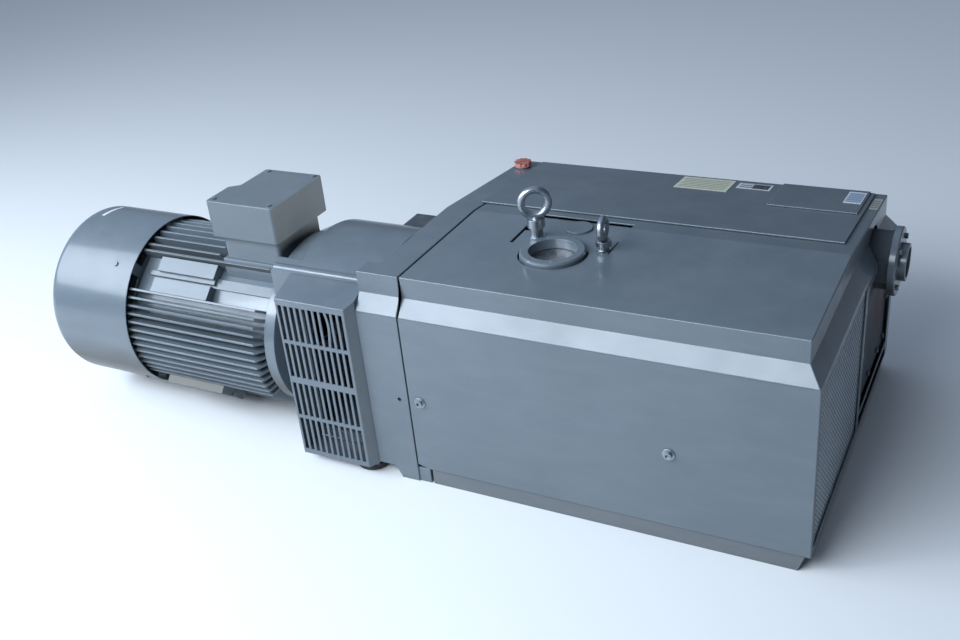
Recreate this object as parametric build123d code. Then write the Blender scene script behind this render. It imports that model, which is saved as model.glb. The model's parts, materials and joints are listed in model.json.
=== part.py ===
from build123d import *
import math
import os

os.makedirs("parts", exist_ok=True)

# Oil-lubricated rotary vane vacuum pump set: flange motor, fan lantern, end plate and hooded pump.
# Working frame, millimetres: X = 0 at the seam between end plate and hood, Y = 0 at the hood's
# front panel, Z = 0 on the floor. The motor is at -X and the exhaust at +X.

# ---- Shaft line, shared by motor, coupling and pump ----
SHAFT_Y = 162.0
SHAFT_Z = 205.0
RUNNING_FIT = 0.05
LOOSE_FIT = 0.4

# ---- Hood, end plate and base ----
HOOD_LENGTH = 722.0
HOOD_DEPTH = 680.0
HOOD_TOP = 422.0
FASCIA = 40.0
CHAMFER_DROP = 30.0
CHAMFER_OUT = 21.0
SLOPE_START = 313.0
SLOPE = 0.107
SHEET = 3.0
BASE_HEIGHT = 32.5
BASE_START = 26.7
BASE_END = 702.0
BASE_TOP_END = 713.0
BASE_SETBACK = 3.0
SEAM = 3.0
PLATE_LEFT = -62.0
PLATE_CHEEK_LEFT = -88.0
PLATE_WALL = 10.0
PLATE_FOOT_LEFT = -41.0
PLATE_FOOT_RIGHT = 22.0

# ---- Lid on the hood's rear slope ----
LID_LEFT = -11.0
LID_RIGHT = 680.0
LID_FRONT = 359.0
LID_BACK = 650.0
LID_PROUD = 4.0
LID_LIP = 12.0

# ---- Intake port: G 3 thread, modelled at its minor diameter ----
INTAKE_X = 220.0
INTAKE_Y = 181.0
INTAKE_TOP = 430.0
INTAKE_BORE_R = 42.46
INTAKE_RING_R = 59.0
INTAKE_SEAT = 411.0
INTAKE_CHAMBER_R = 47.0
INTAKE_DISC_R = 44.5
RECESS_LEFT = 126.0
RECESS_RIGHT = 314.0
RECESS_FRONT = 204.0
RECESS_BACK = 336.0
RECESS_GAP = 3.0

# ---- Exhaust port: G 2 thread, modelled at its minor diameter ----
EXHAUST_Y = 520.0
EXHAUST_Z = 318.0
EXHAUST_BORE_R = 28.33
EXHAUST_SOCKET_R = 35.0
EXHAUST_FLANGE_R = 64.0
EXHAUST_NECK_R = 54.0
EXHAUST_TIP = 765.0

# ---- Pump: rotor tangent to the top of an eccentric bore ----
CYLINDER_X0 = 60.0
CYLINDER_X1 = 420.0
ROTOR_R = 90.0
BORE_R = 105.0
TANGENT_GAP = 0.3
ECCENTRICITY = BORE_R - ROTOR_R - TANGENT_GAP
BORE_Z = SHAFT_Z - ECCENTRICITY
CYLINDER_R = 130.0
COVER_THICKNESS = 26.0
PUMP_SHAFT_R = 30.0
VANE_COUNT = 3
VANE_THICKNESS = 8.0
VANE_HEIGHT = 48.0
SLOT_CLEARANCE = 0.15

# ---- Lantern with the cooling fan, and the grille box on its front ----
LANTERN_LEFT = -295.0
LANTERN_R = 217.0
LANTERN_SHOULDER_R = 190.0
LANTERN_SHOULDER_END = -238.0
LANTERN_CORNER = 68.0
LANTERN_FRONT = 40.0
LANTERN_BACK = 284.0
LANTERN_BOTTOM = 18.0
LANTERN_WALL = 8.0
GRILLE_FRONT = -19.0
GRILLE_LEFT = -250.0
GRILLE_RIGHT = -94.0
GRILLE_BOTTOM = 20.0
GRILLE_TOP = 362.0
GRILLE_RISE = 23.0
GRILLE_WALL = 3.0
SLOT_COLUMNS = 11
SLOT_WIDTH = 7.5
SLOT_PITCH = 13.2
SLOT_HEIGHT = 72.0
SLOT_BAR = 8.0
SLOT_MIDDLE_BAR = 14.0
FAN_R = 108.0

# ---- Motor, frame size 180 ----
MOTOR_CORE_R = 142.0
FIN_TIP_R = 172.0
FIN_THICKNESS = 5.0
FIN_LEFT = -655.0
FIN_RIGHT = -335.0
FIN_ROOT_RIGHT = -319.0
FRAME_BORE_R = 118.0
COWL_R = 180.0
COWL_OPEN = -649.0
COWL_BACK = -864.0
COWL_SHEET = 2.5
MOTOR_SHAFT_R = 27.5
PAD_ANGLE = 48.5
PAD_X0 = -650.0
PAD_X1 = -462.0
PAD_STEP = 45.0
PAD_HALF = 38.0
PAD_GROOVE = 7.0
PAD_R = 160.0
FOOT_R = 183.0

# ---- Terminal box ----
BOX_X0, BOX_X1 = -452.0, -298.0
BOX_Y0, BOX_Y1 = 77.0, 247.0
BOX_TOP = 492.0
BOX_LID_BOTTOM = 418.0
NECK_X0, NECK_X1 = -442.0, -310.0
NECK_Y0, NECK_Y1 = 92.0, 232.0
NECK_BOTTOM = 366.0
NECK_TOP = 414.0

# ---- Lifting eyes: a large and a small one, each (x, y), ring and tube radius, heights ----
LARGE_EYE = {"x": 163.0, "y": 240.0, "ring": 24.5, "tube": 7.0, "collar": 16.0, "shank": 8.0,
             "centre_z": 487.0, "collar_z": 441.0, "facing": 30.0}
SMALL_EYE = {"x": 299.0, "y": 221.0, "ring": 16.5, "tube": 6.5, "collar": 14.0, "shank": 6.0,
             "centre_z": 461.5, "collar_z": 430.0, "facing": 95.5}

# ---- Hood openings, each (y0, y1, z0, z1) in the right end, and screws ----
MESH_FRAME = (14.0, 362.0, 42.0, 340.0)
END_COVER = (378.0, 656.0, 69.0, 318.0)
VENT_GAP = (378.0, 656.0, 36.0, 62.0)
SERVICE_HOLE = (40.0, 655.0, LID_FRONT + 12, LID_BACK - 20)
HOOD_SCREWS_X = (22.0, 488.0)
HOOD_SCREW_Z = 181.5
SCREW_PROUD = 7.0

# ---- Plates on the lid, each (x0, x1, y0, y1, lift, thickness) ----
RATING_PLATE = (310.0, 416.0, 566.0, 640.0, LID_PROUD + 0.05, 0.8)
SMALL_PLATE = (426.0, 492.0, 599.0, 633.0, LID_PROUD + 0.05, 0.6)
PANEL_PLATE = (636.0, 668.0, 564.0, 634.0, LID_PROUD + 3.05, 0.6)
ROOF_PLATE = (683.0, 699.0, 562.0, 626.0, 0.05, 0.6)
LID_PANEL = (508.0, 672.0, 511.0, 648.0)

# ---- Oil filler, intake seats and valve ----
FILLER_X = -40.0
FILLER_Y = 612.0
FILLER_NECK_R = 15.0
FILLER_CAP_R = 18.0
FILLER_SEAT = HOOD_TOP - SLOPE * (FILLER_Y - SLOPE_START)
FLANGE_SEAT = 396.0
EYE_HOLE_BOTTOM = 385.0
VALVE_Z = INTAKE_SEAT - 5.2
RECESS_FLOOR = HOOD_TOP - 8.0

# ---- Separator tank as (x0, x1, y0, y1, z0, z1), and the float's pivot ----
TANK = (34.0, 700.0, 350.0, 646.0, BASE_HEIGHT + 0.2, 330.0)
TANK_WALL = 8.0
FLOAT_PIVOT = (600.0, 420.0, 110.0)
FILTER_X = 560.0
FILTER_Y = 130.0
GLASS_X = 120.0
GLASS_Z = 110.0
GLASS_R = 20.0
DRAIN_X = 60.0
DRAIN_Z = 52.0
DRAIN_R = 11.0

# ---- Feet, cooler, cowl screws and cable entries ----
FOOT_X = -118.0
FOOT_Y = (26.0, 300.0)
FOOT_TOP = 14.0
FOOT_PAD = 26.0
COOLER = (-152.0, -64.0, LANTERN_BACK + 0.2, 345.0, 60.0, 384.0)
COWL_SCREW_X = -696.0
COWL_SCREW_ANGLES = (PAD_ANGLE, 180 - PAD_ANGLE, 180 + PAD_ANGLE, -PAD_ANGLE)
GLAND_X = (-410.0, -350.0)
GLAND_Z = 390.0

# ---- Origin of the row: centre of the set's footprint, on the floor ----
CENTRE_X = (COWL_BACK + EXHAUST_TIP) / 2
CENTRE_Y = (GRILLE_FRONT + HOOD_DEPTH + SCREW_PROUD) / 2


def block(x0, x1, y0, y1, z0, z1):
    """Box between two corners."""
    centre = Pos((x0 + x1) / 2, (y0 + y1) / 2, (z0 + z1) / 2)
    return centre * Box(x1 - x0, y1 - y0, z1 - z0)


def axial(x0, x1, r, y=SHAFT_Y, z=SHAFT_Z):
    """Cylinder along X, on the shaft line unless placed elsewhere."""
    return Pos((x0 + x1) / 2, y, z) * Rot(0, 90, 0) * Cylinder(r, x1 - x0)


def upright(x, y, z0, z1, r):
    """Cylinder along Z."""
    return Pos(x, y, (z0 + z1) / 2) * Cylinder(r, z1 - z0)


def across(x, y0, y1, z, r):
    """Cylinder along Y."""
    return Pos(x, (y0 + y1) / 2, z) * Rot(90, 0, 0) * Cylinder(r, y1 - y0)


def ring(x0, x1, outer, inner, y=SHAFT_Y, z=SHAFT_Z):
    """Tube along X."""
    return axial(x0, x1, outer, y, z) - axial(x0 - 1, x1 + 1, inner, y, z)


def about_shaft(shape, angle):
    """Turn a shape built in front of the X axis (towards -Y) up around the shaft line."""
    return Pos(0, SHAFT_Y, SHAFT_Z) * Rot(-angle, 0, 0) * shape


def prism_x(points, x0, x1):
    """Extrude (y, z) points along X."""
    face = Plane.YZ.offset(x0) * Polygon(*points, align=None)
    return extrude(face, amount=x1 - x0, dir=(1, 0, 0))


def prism_y(points, y0, y1):
    """Extrude (x, z) points along Y."""
    plane = Plane(origin=(0, y0, 0), x_dir=(1, 0, 0), z_dir=(0, -1, 0))
    return extrude(plane * Polygon(*points, align=None), amount=y1 - y0, dir=(0, 1, 0))


def hex_head(across_flats, height):
    """Hexagonal head standing on the XY plane."""
    return extrude(RegularPolygon(across_flats / 2, 6, major_radius=False), amount=height)


def save(name, *shapes):
    """Write one node, moved to the row's origin."""
    solids = [solid for shape in shapes for solid in shape.solids()]
    placed = [Pos(-CENTRE_X, -CENTRE_Y, 0) * solid for solid in solids]
    shape = placed[0] if len(placed) == 1 else Compound(placed)
    export_step(shape, f"parts/{name}.step")


# ---------------------------------------------------------------- hood, end plate, base


def roof_z(y):
    """Height of the roof: level in front, falling gently to the back."""
    return HOOD_TOP - max(0.0, y - SLOPE_START) * SLOPE


def hood_section(inset, bottom):
    """(y, z) outline of hood and end plate, moved inwards by inset."""
    front, back = inset, HOOD_DEPTH - inset
    top_front, top_back = CHAMFER_OUT + inset, HOOD_DEPTH - CHAMFER_OUT - inset
    rear_top = roof_z(top_back)
    return [
        (front, bottom),
        (front, HOOD_TOP - FASCIA - CHAMFER_DROP),
        (top_front, HOOD_TOP - FASCIA),
        (top_front, HOOD_TOP - inset),
        (SLOPE_START, HOOD_TOP - inset),
        (top_back, rear_top - inset),
        (top_back, rear_top - FASCIA),
        (back, rear_top - FASCIA - CHAMFER_DROP),
        (back, bottom),
    ]


def hood_end_face(y, inset, left, bottom, top):
    """Outline across the hood's right end at one depth, with its fascia and chamfer."""
    plane = Plane(origin=(0, y, 0), x_dir=(1, 0, 0), z_dir=(0, -1, 0))
    end = HOOD_LENGTH - inset
    points = [
        (left, bottom),
        (end, bottom),
        (end, top - FASCIA - CHAMFER_DROP),
        (end - CHAMFER_OUT, top - FASCIA),
        (end - CHAMFER_OUT, top + 10),
        (left, top + 10),
    ]
    return plane * Polygon(*points, align=None)


def hood_solid(inset, left, bottom):
    """Hood body with its mitred right end, before it is hollowed."""
    body = prism_x(hood_section(inset, bottom), left, HOOD_LENGTH - inset)
    near = hood_end_face(-1, inset, left, bottom, HOOD_TOP)
    level = extrude(near, amount=SLOPE_START + 1, dir=(0, 1, 0))
    start = hood_end_face(SLOPE_START, inset, left, bottom, HOOD_TOP)
    end = hood_end_face(HOOD_DEPTH + 1, inset, left, bottom, roof_z(HOOD_DEPTH + 1))
    sloped = loft([start, end], ruled=True)
    return (body & level) + (body & sloped)


def intake_recess(margin, z0, z1):
    """Space round the intake port: a rectangle behind and a circle round the ring."""
    straight = block(RECESS_LEFT - margin, RECESS_RIGHT + margin, RECESS_FRONT - margin,
                     RECESS_BACK + margin, z0, z1)
    return straight + upright(INTAKE_X, INTAKE_Y, z0, z1, INTAKE_RING_R + RECESS_GAP + margin)


def front_hood():
    """Sheet hood over the pump, open below and towards the end plate."""
    shell = hood_solid(0, 0, BASE_HEIGHT + 1) - hood_solid(SHEET, -5, 0)
    shell -= intake_recess(0, HOOD_TOP - 20, HOOD_TOP + 5)
    x0, x1, y0, y1 = SERVICE_HOLE
    shell -= block(x0, x1, y0, y1, 360, 430)
    for y0, y1, z0, z1 in (MESH_FRAME, END_COVER, VENT_GAP):
        shell -= block(HOOD_LENGTH - 10, HOOD_LENGTH + 5, y0, y1, z0, z1)
    shell -= axial(HOOD_LENGTH - 34, HOOD_LENGTH + 5, EXHAUST_NECK_R + 6, EXHAUST_Y, EXHAUST_Z)
    for x in HOOD_SCREWS_X:
        shell -= across(x, -5, HOOD_DEPTH + 5, HOOD_SCREW_Z, 5.0)
    shell -= block(90, 150, HOOD_DEPTH - 10, HOOD_DEPTH + 5, 78, 142)
    notch = [(-1, BASE_HEIGHT - 5), (0, BASE_HEIGHT + 8), (24, BASE_HEIGHT), (24, BASE_HEIGHT - 5)]
    return shell - prism_y(notch, -5, HOOD_DEPTH + 5)


def end_plate():
    """Cast end plate between lantern and hood, on its own feet."""
    right = -SEAM
    outer = prism_x(hood_section(0, 0), PLATE_LEFT, right)
    cheek = prism_x(hood_section(0, 24), PLATE_CHEEK_LEFT, PLATE_LEFT + 1)
    outer += cheek & block(PLATE_CHEEK_LEFT, PLATE_LEFT + 1, -1, 62, 24, HOOD_TOP + 1)
    inner = prism_x(hood_section(PLATE_WALL, BASE_HEIGHT + PLATE_WALL), PLATE_LEFT + PLATE_WALL, 10)
    plate = outer - inner
    under = [
        (PLATE_LEFT - 1, -1),
        (PLATE_LEFT - 1, 24),
        (PLATE_LEFT + 6, 24),
        (PLATE_FOOT_LEFT - 6, 15),
        (PLATE_FOOT_LEFT, 3),
        (PLATE_FOOT_LEFT, -1),
    ]
    plate -= prism_y(under, -5, HOOD_DEPTH + 5)
    toe = block(right - 1, PLATE_FOOT_RIGHT, BASE_SETBACK, HOOD_DEPTH - BASE_SETBACK, 0,
                BASE_HEIGHT - 2)
    plate += toe
    plate -= block(PLATE_LEFT - 1, PLATE_FOOT_RIGHT + 1, 90, HOOD_DEPTH - 90, -1, 16)
    plate -= axial(PLATE_LEFT - 5, PLATE_LEFT + 20, 70)
    for y in (330.0, 450.0, 570.0):
        for z in (120.0, 250.0):
            plate -= axial(PLATE_LEFT - 5, PLATE_LEFT + 20, 45, y, z)
    plate -= across(-21, -5, 14, 180, 4.0)
    plate -= upright(FILLER_X, FILLER_Y, 340, 440, FILLER_NECK_R - 1)
    return plate + oil_filler_neck()


def base_frame():
    """Base under the hood: two long rails, end rails and a deck."""
    z1 = BASE_HEIGHT
    side = [(BASE_START, 0), (BASE_END, 0), (BASE_TOP_END, z1), (BASE_START, z1)]
    body = prism_y(side, BASE_SETBACK, HOOD_DEPTH - BASE_SETBACK)
    pocket = block(BASE_START + 60, BASE_END - 60, 70, HOOD_DEPTH - 70, -1, z1 - 8)
    body -= pocket
    for x in (110.0, 620.0):
        for y in (36.0, HOOD_DEPTH - 36.0):
            body -= upright(x, y, -1, z1 + 1, 7.0)
    return body


def rear_lid():
    """Service lid lying on the rear slope, with a folded front lip."""
    y0, y1 = LID_FRONT, LID_BACK
    top = [
        (y0, roof_z(y0) + 0.3),
        (y0, roof_z(y0) + LID_PROUD),
        (y1, roof_z(y1) + LID_PROUD),
        (y1, roof_z(y1) + 0.3),
    ]
    lid = prism_x(top, -SEAM, LID_RIGHT) + prism_x(top, LID_LEFT, -SEAM + 1)
    x0, x1, hole_y0, hole_y1 = SERVICE_HOLE
    lip = [
        (hole_y0 + 1, roof_z(hole_y0) + 1),
        (hole_y0 + 4, roof_z(hole_y0) + 1),
        (hole_y0 + 4, roof_z(hole_y0) - LID_LIP),
        (hole_y0 + 1, roof_z(hole_y0) - LID_LIP),
    ]
    return lid + prism_x(lip, x0 + 2, x1 - 2)


def lid_panel():
    """Raised sub-panel at the right of the lid."""
    x0, x1, y0, y1 = LID_PANEL
    low, high = LID_PROUD + 0.05, LID_PROUD + 3.0
    outline = [
        (y0, roof_z(y0) + low),
        (y0, roof_z(y0) + high),
        (y1, roof_z(y1) + high),
        (y1, roof_z(y1) + low),
    ]
    return prism_x(outline, x0, x1)


def plate_on_lid(x0, x1, y0, y1, lift, thickness):
    """Thin plate or label lying on the roof slope."""
    outline = [
        (y0, roof_z(y0) + lift),
        (y0, roof_z(y0) + lift + thickness),
        (y1, roof_z(y1) + lift + thickness),
        (y1, roof_z(y1) + lift),
    ]
    return prism_x(outline, x0, x1)


def air_inlet_mesh():
    """Expanded metal sheet behind the right end's air opening."""
    y0, y1, z0, z1 = MESH_FRAME
    x1 = HOOD_LENGTH - SHEET - 0.3
    return block(x1 - 2, x1, y0 - 5, y1 + 5, z0 - 4, z1 + 5)


def socket_screw(length, head_r, head_h, washer_r):
    """Socket head screw with a washer: +Z out of the surface, head standing on z = 0."""
    screw = Pos(0, 0, 2) * Cylinder(washer_r, 2, align=(Align.CENTER, Align.CENTER, Align.MAX))
    screw += Pos(0, 0, 2 + head_h / 2) * Cylinder(head_r, head_h)
    screw += Pos(0, 0, -length / 2 + 1) * Cylinder(head_r * 0.55, length)
    key = extrude(RegularPolygon(head_r * 0.5, 6, major_radius=False), amount=head_h)
    return screw - Pos(0, 0, 2 + head_h * 0.4) * key


def hood_screws():
    """Screws with washers in the hood's front and back panels."""
    screws = []
    for x in HOOD_SCREWS_X:
        screws.append(Pos(x, 0, HOOD_SCREW_Z) * Rot(90, 0, 0) * socket_screw(14, 7, 5, 11))
        screws.append(Pos(x, HOOD_DEPTH, HOOD_SCREW_Z) * Rot(-90, 0, 0) * socket_screw(14, 7, 5, 11))
    return screws


# ---------------------------------------------------------------- intake


def intake_block():
    """Cast block carrying the intake, seen in the hood's recess."""
    x0, x1 = RECESS_LEFT + 3, RECESS_RIGHT - 3
    floor = 345.0
    body = block(x0, x1, RECESS_FRONT + 3, 262, floor, HOOD_TOP - 2)
    body += block(x0, x1, 250, RECESS_BACK - 1.5, floor, RECESS_FLOOR)
    body += upright(INTAKE_X, INTAKE_Y, floor, FLANGE_SEAT, INTAKE_RING_R - 1)
    body -= upright(INTAKE_X, INTAKE_Y, FLANGE_SEAT, INTAKE_TOP, INTAKE_RING_R + 0.5)
    body -= upright(INTAKE_X, INTAKE_Y, floor - 1, INTAKE_TOP, INTAKE_CHAMBER_R + 2)
    for eye in (LARGE_EYE, SMALL_EYE):
        body -= upright(eye["x"], eye["y"], EYE_HOLE_BOTTOM, INTAKE_TOP, eye["shank"] + RUNNING_FIT)
    return body


def intake_flange():
    """Threaded intake ring, slightly proud of the roof."""
    body = upright(INTAKE_X, INTAKE_Y, FLANGE_SEAT + 0.1, INTAKE_TOP, INTAKE_RING_R - 4)
    body += upright(INTAKE_X, INTAKE_Y, 414, INTAKE_TOP, INTAKE_RING_R)
    body = chamfer(body.edges().group_by(Axis.Z)[-1], 3)
    body -= upright(INTAKE_X, INTAKE_Y, FLANGE_SEAT - 1, INTAKE_SEAT, INTAKE_CHAMBER_R)
    return body - upright(INTAKE_X, INTAKE_Y, FLANGE_SEAT, INTAKE_TOP + 1, INTAKE_BORE_R)


def intake_valve_disc():
    """Non-return valve disc with its guide stem; it drops to let gas in."""
    disc = upright(INTAKE_X, INTAKE_Y, VALVE_Z, VALVE_Z + 5, INTAKE_DISC_R)
    disc = fillet(disc.edges().group_by(Axis.Z)[-1], 2)
    return disc + upright(INTAKE_X, INTAKE_Y, VALVE_Z - 44, VALVE_Z + 1, 6)


def valve_guide():
    """Spider that guides the valve stem."""
    z0, z1 = 358.0, 368.0
    body = upright(INTAKE_X, INTAKE_Y, z0, z1, 12)
    for turn in range(3):
        arm = Pos(INTAKE_X, INTAKE_Y, (z0 + z1) / 2) * Rot(0, 0, 120 * turn) * Pos(27, 0, 0)
        body += arm * Box(34, 8, z1 - z0)
    body += upright(INTAKE_X, INTAKE_Y, z0, z1, 48) - upright(INTAKE_X, INTAKE_Y, z0 - 1, z1 + 1, 42)
    body -= upright(INTAKE_X, INTAKE_Y, z0 - 1, z1 + 1, 6 + RUNNING_FIT)
    return body + intake_strainer()


def valve_spring():
    """Closing spring between guide and disc."""
    z0, z1 = 368.5, VALVE_Z - 0.5
    return upright(INTAKE_X, INTAKE_Y, z0, z1, 11) - upright(INTAKE_X, INTAKE_Y, z0 - 1, z1 + 1, 8.5)


def intake_strainer():
    """Cup-shaped strainer below the valve."""
    z0, z1 = 345.2, 358.5
    cup = upright(INTAKE_X, INTAKE_Y, z0, z1, 47)
    return cup - upright(INTAKE_X, INTAKE_Y, z0 + 1.5, z1 + 1, 45)


def recess_plug():
    """Round plug in the low part of the recess."""
    plug = upright(218, 305, RECESS_FLOOR + 0.1, RECESS_FLOOR + 3.5, 26)
    return fillet(plug.edges().group_by(Axis.Z)[-1], 1.5)


def eye_bolt(eye):
    """Lifting eye: ring, collar, spacers and threaded shank."""
    x, y, collar_z = eye["x"], eye["y"], eye["collar_z"]
    seat = HOOD_TOP - 2 + RUNNING_FIT
    turned = Rot(0, 0, eye["facing"]) * Rot(90, 0, 0)
    body = Pos(x, y, eye["centre_z"]) * turned * Torus(eye["ring"], eye["tube"])
    ring_bottom = eye["centre_z"] - eye["ring"]
    body += upright(x, y, collar_z, ring_bottom - eye["tube"] + 2, eye["collar"])
    body += upright(x, y, collar_z, ring_bottom, eye["shank"])
    body += upright(x, y, seat, collar_z + 1, eye["collar"] - 4)
    body += upright(x, y, seat, seat + 3, eye["collar"] - 1)
    return body + upright(x, y, EYE_HOLE_BOTTOM + 5, collar_z, eye["shank"])


# ---------------------------------------------------------------- pump


def pump_cylinder():
    """Eccentric cylinder with feet and the seat of the intake block."""
    x0, x1 = CYLINDER_X0, CYLINDER_X1
    body = axial(x0, x1, CYLINDER_R, z=BORE_Z)
    body += block(RECESS_LEFT + 8, RECESS_RIGHT - 8, 100, 330, 300, 344.8)
    body += block(RECESS_LEFT + 8, RECESS_RIGHT - 8, 100, 262, 250, 310)
    for x in (x0 + 30, x1 - 80):
        body += block(x, x + 50, 60, 264, BASE_HEIGHT + 0.2, 150)
    body -= axial(x0 - 1, x1 + 1, BORE_R, z=BORE_Z)
    body -= upright(INTAKE_X, INTAKE_Y + 17, 280, 350, 27)
    return body


def pump_cover(x0, x1, pocket_x0, pocket_x1):
    """End cover with the bearing's pocket."""
    cover = axial(x0, x1, CYLINDER_R, z=BORE_Z) - axial(x0 - 1, x1 + 1, 36)
    return cover - axial(pocket_x0, pocket_x1, 52 + RUNNING_FIT)


def pump_rotor():
    """Slotted rotor and its shaft, running into the coupling."""
    x0, x1 = CYLINDER_X0 + 0.5, CYLINDER_X1 - 0.5
    rotor = axial(x0, x1, ROTOR_R) + axial(-128, CYLINDER_X1 + 28, PUMP_SHAFT_R)
    for turn in range(VANE_COUNT):
        width = VANE_THICKNESS + 2 * SLOT_CLEARANCE
        slot = block(x0 - 1, x1 + 1, -ROTOR_R - 2, -ROTOR_R + VANE_HEIGHT + 4, -width / 2, width / 2)
        rotor -= about_shaft(slot, -90 + turn * 360 / VANE_COUNT)
    return rotor


def vane(turn):
    """One sliding vane, drawn back flush in its slot."""
    x0, x1 = CYLINDER_X0 + 1, CYLINDER_X1 - 1
    tip = -ROTOR_R + 1.0
    plate = block(x0, x1, tip, tip + VANE_HEIGHT, -VANE_THICKNESS / 2, VANE_THICKNESS / 2)
    return about_shaft(plate, -90 + turn * 360 / VANE_COUNT)


def bearing(x0, x1, outer, inner):
    """Bearing ring with a groove between its races."""
    body = ring(x0, x1, outer, inner + RUNNING_FIT)
    middle = (outer + inner) / 2
    for start, end in ((x0 - 1, x0 + 1.5), (x1 - 1.5, x1 + 1)):
        body -= ring(start, end, middle + 5, middle - 5)
    return body


def shaft_seal():
    """Lip seal on the coupling side of the pump."""
    return ring(CYLINDER_X0 - COVER_THICKNESS - 10, CYLINDER_X0 - COVER_THICKNESS - 0.1, 48,
                PUMP_SHAFT_R + RUNNING_FIT)


def oil_filter():
    """Spin-on oil filter canister beside the cylinder, on its head."""
    x, y = FILTER_X, FILTER_Y
    can = upright(x, y, 150, 270, 47)
    can = fillet(can.edges().group_by(Axis.Z)[0], 8)
    for turn in range(12):
        flute = Rot(0, 0, 30 * turn) * Pos(48, 0, 0)
        can -= Pos(x, y, 168) * flute * Cylinder(3, 30)
    return can


def oil_filter_head():
    """Casting that carries the oil filter, on a post from the base."""
    body = block(508, 622, 82, 178, 270.1, 304)
    post = block(610, 622, 82, 178, BASE_HEIGHT + 0.1, 272)
    return body + post


def gas_ballast_valve():
    """Gas ballast valve with its small filter on the far pump cover."""
    x0 = CYLINDER_X1 + COVER_THICKNESS + 0.1
    body = axial(x0, x0 + 26, 16, 162, 290) + axial(x0 + 26, x0 + 30, 13, 162, 290)
    return body + axial(x0 + 30, x0 + 52, 21, 162, 290)


def oil_line():
    """Oil pipe from the separator tank to the filter head."""
    path = FilletPolyline((650, 350, 120), (650, 130, 120), (650, 130, 287), (622.2, 130, 287), radius=20)
    profile = Plane(origin=path @ 0, z_dir=path % 0) * Circle(8)
    return sweep(profile, path=path)


# ---------------------------------------------------------------- oil separator and exhaust


def separator_tank():
    """Open-topped tank for oil and exhaust filters."""
    x0, x1, y0, y1, z0, z1 = TANK
    w = TANK_WALL
    tank = block(x0, x1 - 10, y0, y1, z0, z1) - block(x0 + w, x1 - 5, y0 + w, y1 - w, z0 + w, z1 + 5)
    tank -= across(650, y0 - 1, y0 + w + 1, 120, 8 + LOOSE_FIT)
    tank -= across(GLASS_X, y1 - w - 1, y1 + 1, GLASS_Z, GLASS_R + RUNNING_FIT)
    tank -= across(DRAIN_X, y1 - w - 1, y1 + 1, DRAIN_Z, DRAIN_R + RUNNING_FIT)
    return tank


def separator_top():
    """Flat cover of the tank, under the lid."""
    x0, x1, y0, y1, z0, z1 = TANK
    return block(x0, x1 - 10, y0, y1, z1 + 0.1, z1 + 8)


def separator_end_cover():
    """End cover of the tank with the exhaust neck."""
    x0, x1, y0, y1, z0, z1 = TANK
    y2, y3, z2, z3 = END_COVER
    cover = block(x1 - 9.9, x1 + 14, y2 - 4, y3 + 4, z2 - 3, z3 + 4)
    cover += block(x1 - 9.9, x1 - 4, y0, y1, z0, z1 + 8)
    cover += axial(x1 - 6, 738, EXHAUST_NECK_R, EXHAUST_Y, EXHAUST_Z)
    cover += block(x1, 738, EXHAUST_Y - 54, EXHAUST_Y + 20, EXHAUST_Z - 22, EXHAUST_Z + 22)
    return cover - axial(x1 - 20, 740, EXHAUST_BORE_R + 6, EXHAUST_Y, EXHAUST_Z)


def end_cover_bolts():
    """Hexagon bolts round the end cover."""
    places = [(400, 90), (400, 180), (400, 270), (490, 90), (580, 90), (640, 90), (640, 180), (640, 240)]
    return [Pos(TANK[1] + 14.05, y, z) * Rot(0, 90, 0) * hex_head(10, 5) for y, z in places]


def exhaust_flange():
    """Flange clamped to the exhaust neck."""
    x0, x1 = 738.1, 752.0
    body = axial(x0, x1, EXHAUST_FLANGE_R, EXHAUST_Y, EXHAUST_Z)
    body = chamfer(body.edges().group_by(Axis.X)[-1], 2)
    body += axial(x1 - 1, EXHAUST_TIP, EXHAUST_SOCKET_R, EXHAUST_Y, EXHAUST_Z)
    return body - axial(x0 - 1, EXHAUST_TIP + 1, EXHAUST_BORE_R, EXHAUST_Y, EXHAUST_Z)


def exhaust_flange_bolts():
    """Screws of the exhaust flange."""
    bolts = []
    for turn in range(4):
        angle = math.radians(45 + 90 * turn)
        y = EXHAUST_Y + 50 * math.cos(angle)
        z = EXHAUST_Z + 50 * math.sin(angle)
        bolts.append(Pos(752.05, y, z) * Rot(0, 90, 0) * hex_head(10, 5))
    return bolts


def exhaust_filters():
    """Four tubular oil mist filters lying along the tank."""
    return [ring(120, 560, 33, 22, y, z) for y in (430, 570) for z in (205, 285)]


def filter_manifold():
    """Plate that carries the exhaust filters."""
    plate = block(560.2, 572, 362, 634, 150, 322)
    for y in (430, 570):
        for z in (205, 285):
            plate -= axial(555, 580, 20, y, z)
    return plate


def float_valve():
    """Float on its arm, which opens the oil return."""
    px, py, pz = FLOAT_PIVOT
    arm = block(px - 70, px + 4, py - 3, py + 3, pz - 4, pz + 4)
    drum = upright(px - 86, py, pz - 20, pz + 20, 22)
    drum = fillet(drum.edges().filter_by(GeomType.CIRCLE), 8)
    return arm + drum - across(px, py - 10, py + 10, pz, 2.5 + RUNNING_FIT)


def float_bracket():
    """Bracket and pin that the float arm turns on."""
    px, py, pz = FLOAT_PIVOT
    z0 = TANK[4] + TANK_WALL
    bracket = across(px, py - 9, py + 9, pz, 2.5)
    for y0, y1 in ((py - 9, py - 4), (py + 4, py + 9)):
        bracket += block(px - 7, px + 7, y0, y1, z0 + 0.1, pz + 7)
    return bracket


def sight_glass():
    """Oil level glass in the tank's back wall."""
    y1 = TANK[3]
    return across(GLASS_X, y1 - TANK_WALL, y1 + 2, GLASS_Z, GLASS_R)


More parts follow.
